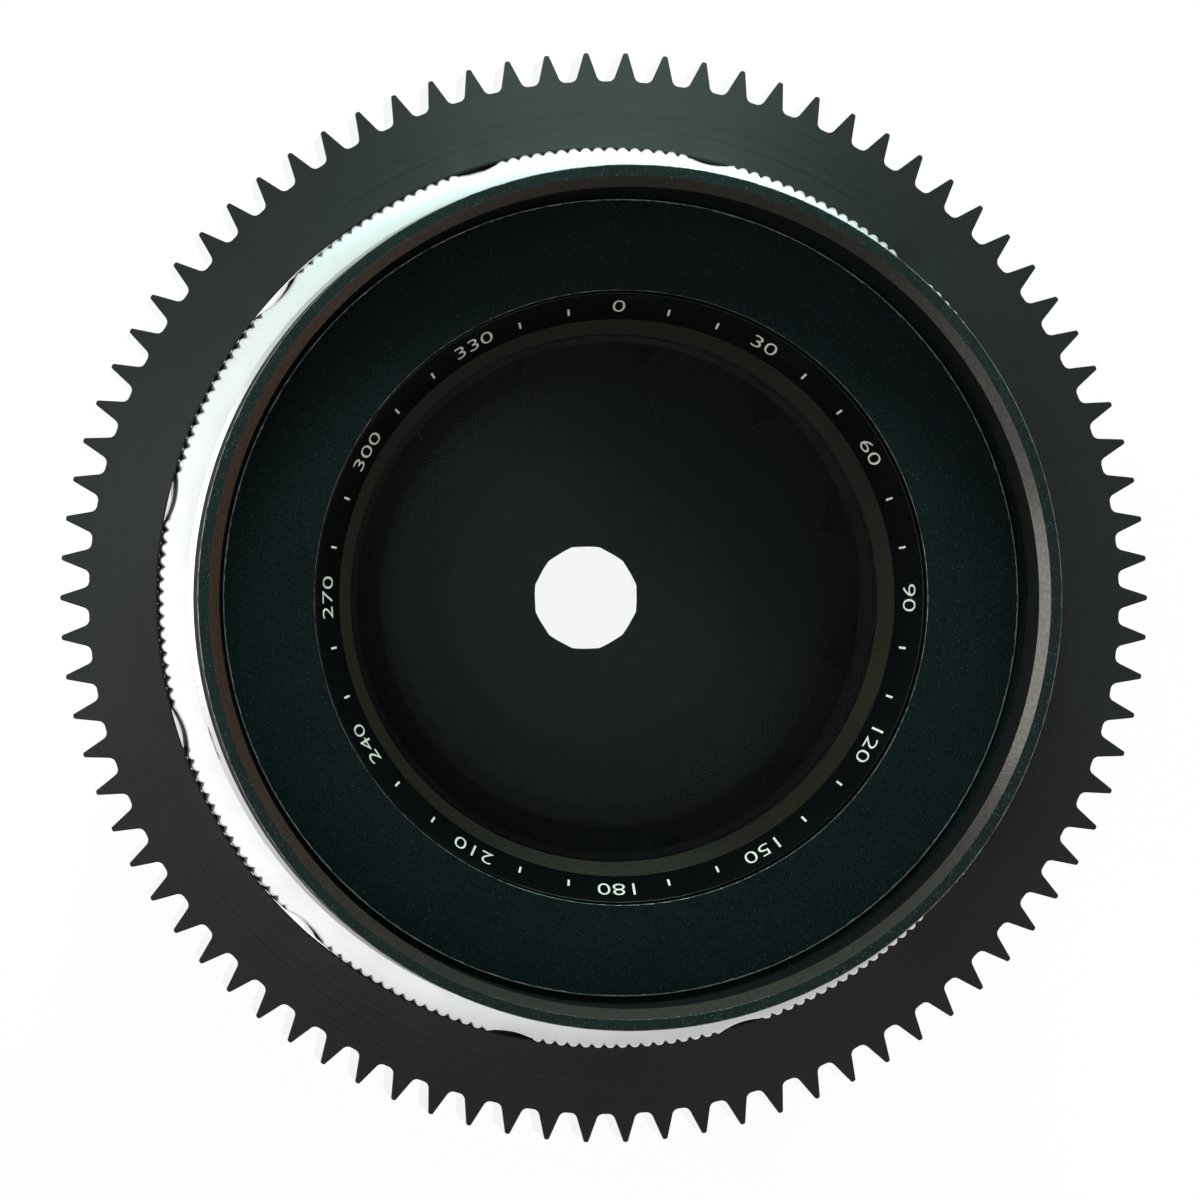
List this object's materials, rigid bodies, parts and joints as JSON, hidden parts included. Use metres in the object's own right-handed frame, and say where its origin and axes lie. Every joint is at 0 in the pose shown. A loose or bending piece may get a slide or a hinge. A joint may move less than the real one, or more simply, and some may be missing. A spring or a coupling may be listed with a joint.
{
  "type": "cinema prime lens",
  "caption": "Short telephoto prime lens with a toothed follow-focus ring, ribbed focus and aperture rings, leaf iris, step-up front ring and threaded camera mount.",
  "frame": {"origin": "centre of the flange face that seats on the camera", "axes": "+Z along the optical axis towards the front glass, +X to the right and +Y up in the front view"},
  "size_m": [0.0704, 0.0704, 0.0963],
  "materials": {
    "chromed_brass": "satin chrome on brass",
    "screw_steel": "blued steel",
    "black_barrel": "satin black lacquer",
    "satin_silver": "satin anodised",
    "brass": "turned",
    "gear_black": "turned acetal",
    "black_inner": "matt black",
    "coated_glass": "blue-green coating",
    "gloss_black": "gloss black enamel",
    "anodised_black": "grained black anodise",
    "blade_steel": "blackened spring steel"
  },
  "bodies": {
    "barrel": {"camera_mount": "chromed_brass", "mount_screws": "screw_steel", "fixed_barrel": "black_barrel", "depth_scale_ring": "satin_silver", "scale_ring_screws": "screw_steel", "guide_keys": "brass", "guide_key_screws": "screw_steel", "helicoid_keeper": "brass"},
    "focus": {"focus_ring": "satin_silver", "helicoid_ring": "brass", "focus_ring_screws": "screw_steel", "focus_stop_pin": "screw_steel", "follow_focus_gear": "gear_black"},
    "optics": {"optical_tube": "black_barrel", "front_cell": "black_inner", "front_element": "coated_glass", "front_retainer": "black_inner", "lens_spacer": "black_inner", "doublet_crown": "coated_glass", "doublet_flint": "coated_glass", "name_ring": "gloss_black", "front_cover": "black_barrel", "front_cover_screws": "screw_steel", "step_up_ring": "anodised_black", "iris_base_plate": "black_inner", "iris_spacer": "black_inner", "rear_cell": "black_inner", "rear_element": "coated_glass", "rear_keeper": "black_inner"},
    "aperture": {"aperture_ring": "satin_silver", "iris_cam_ring": "brass", "iris_drive_screw": "screw_steel"},
    "blade_1": {"iris_blade_1": "blade_steel"},
    "blade_2": {"iris_blade_2": "blade_steel"},
    "blade_3": {"iris_blade_3": "blade_steel"},
    "blade_4": {"iris_blade_4": "blade_steel"},
    "blade_5": {"iris_blade_5": "blade_steel"},
    "blade_6": {"iris_blade_6": "blade_steel"},
    "blade_7": {"iris_blade_7": "blade_steel"},
    "blade_8": {"iris_blade_8": "blade_steel"},
    "blade_9": {"iris_blade_9": "blade_steel"},
    "blade_10": {"iris_blade_10": "blade_steel"},
    "blade_11": {"iris_blade_11": "blade_steel"},
    "blade_12": {"iris_blade_12": "blade_steel"}
  },
  "joints": [
    {"name": "focus_turn", "type": "hinge", "parent": "barrel", "child": "focus", "pos_m": [0, 0, 0.05], "axis": [0, 0, 1], "range_deg": [0, 270]},
    {"name": "focus_slide", "type": "slide", "parent": "barrel", "child": "optics", "axis": [0, 0, 1], "range_m": [0, 0.015]},
    {"name": "aperture_turn", "type": "hinge", "parent": "optics", "child": "aperture", "pos_m": [0, 0, 0.077], "axis": [0, 0, -1], "range_deg": [0, 66.44]},
    {"name": "blade_1_pivot", "type": "hinge", "parent": "optics", "child": "blade_1", "pos_m": [-0.00486, -0.01629, 0.053], "axis": [0, 0, -1], "range_deg": [0, 33.23]},
    {"name": "blade_2_pivot", "type": "hinge", "parent": "optics", "child": "blade_2", "pos_m": [0.00394, -0.01654, 0.053], "axis": [0, 0, -1], "range_deg": [0, 33.23]},
    {"name": "blade_3_pivot", "type": "hinge", "parent": "optics", "child": "blade_3", "pos_m": [0.01168, -0.01235, 0.053], "axis": [0, 0, -1], "range_deg": [0, 33.23]},
    {"name": "blade_4_pivot", "type": "hinge", "parent": "optics", "child": "blade_4", "pos_m": [0.01629, -0.00486, 0.053], "axis": [0, 0, -1], "range_deg": [0, 33.23]},
    {"name": "blade_5_pivot", "type": "hinge", "parent": "optics", "child": "blade_5", "pos_m": [0.01654, 0.00394, 0.053], "axis": [0, 0, -1], "range_deg": [0, 33.23]},
    {"name": "blade_6_pivot", "type": "hinge", "parent": "optics", "child": "blade_6", "pos_m": [0.01235, 0.01168, 0.053], "axis": [0, 0, -1], "range_deg": [0, 33.23]},
    {"name": "blade_7_pivot", "type": "hinge", "parent": "optics", "child": "blade_7", "pos_m": [0.00486, 0.01629, 0.053], "axis": [0, 0, -1], "range_deg": [0, 33.23]},
    {"name": "blade_8_pivot", "type": "hinge", "parent": "optics", "child": "blade_8", "pos_m": [-0.00394, 0.01654, 0.053], "axis": [0, 0, -1], "range_deg": [0, 33.23]},
    {"name": "blade_9_pivot", "type": "hinge", "parent": "optics", "child": "blade_9", "pos_m": [-0.01168, 0.01235, 0.053], "axis": [0, 0, -1], "range_deg": [0, 33.23]},
    {"name": "blade_10_pivot", "type": "hinge", "parent": "optics", "child": "blade_10", "pos_m": [-0.01629, 0.00486, 0.053], "axis": [0, 0, -1], "range_deg": [0, 33.23]},
    {"name": "blade_11_pivot", "type": "hinge", "parent": "optics", "child": "blade_11", "pos_m": [-0.01654, -0.00394, 0.053], "axis": [0, 0, -1], "range_deg": [0, 33.23]},
    {"name": "blade_12_pivot", "type": "hinge", "parent": "optics", "child": "blade_12", "pos_m": [-0.01235, -0.01168, 0.053], "axis": [0, 0, -1], "range_deg": [0, 33.23]}
  ],
  "couplings": [
    {"joint": "focus_slide", "follows": "focus_turn", "m_per_rad": 0.0031831},
    {"joint": "blade_1_pivot", "follows": "aperture_turn", "ratio": 0.5},
    {"joint": "blade_2_pivot", "follows": "aperture_turn", "ratio": 0.5},
    {"joint": "blade_3_pivot", "follows": "aperture_turn", "ratio": 0.5},
    {"joint": "blade_4_pivot", "follows": "aperture_turn", "ratio": 0.5},
    {"joint": "blade_5_pivot", "follows": "aperture_turn", "ratio": 0.5},
    {"joint": "blade_6_pivot", "follows": "aperture_turn", "ratio": 0.5},
    {"joint": "blade_7_pivot", "follows": "aperture_turn", "ratio": 0.5},
    {"joint": "blade_8_pivot", "follows": "aperture_turn", "ratio": 0.5},
    {"joint": "blade_9_pivot", "follows": "aperture_turn", "ratio": 0.5},
    {"joint": "blade_10_pivot", "follows": "aperture_turn", "ratio": 0.5},
    {"joint": "blade_11_pivot", "follows": "aperture_turn", "ratio": 0.5},
    {"joint": "blade_12_pivot", "follows": "aperture_turn", "ratio": 0.5}
  ]
}
